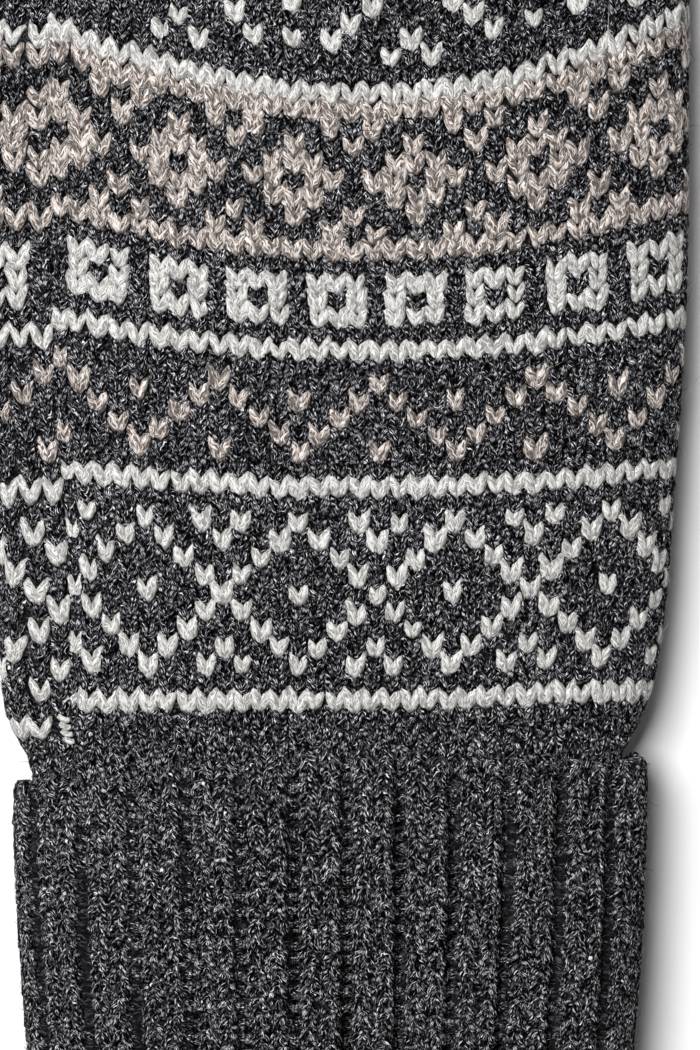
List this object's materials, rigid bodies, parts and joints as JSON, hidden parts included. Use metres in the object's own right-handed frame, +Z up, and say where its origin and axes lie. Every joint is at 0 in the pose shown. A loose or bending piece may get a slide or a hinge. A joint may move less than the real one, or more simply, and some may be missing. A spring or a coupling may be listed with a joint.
{
  "type": "knitted wool glove",
  "caption": "Knitted wool glove for the right hand with a turned-back ribbed cuff and a stranded colour pattern on a hollow hand, closed thumb and fingers.",
  "frame": {"origin": "on the surface that the glove lies on, under the middle of the flat palm, halfway from the cuff's free edge to the finger forks", "axes": "+Y along the hand towards the fingertips, +X towards the little finger, +Z up out of the back of the hand"},
  "size_m": [0.1411, 0.244, 0.019],
  "materials": {
    "charcoal_wool": "heathered charcoal wool yarn, matt, with pale fuzz",
    "white_wool": "natural white wool yarn, matt",
    "beige_wool": "beige wool yarn, matt"
  },
  "bodies": {
    "root": {"cuff": "charcoal_wool", "hand": "charcoal_wool", "thumb": "charcoal_wool", "index_finger": "charcoal_wool", "middle_finger": "charcoal_wool", "ring_finger": "charcoal_wool", "little_finger": "charcoal_wool"}
  },
  "joints": []
}
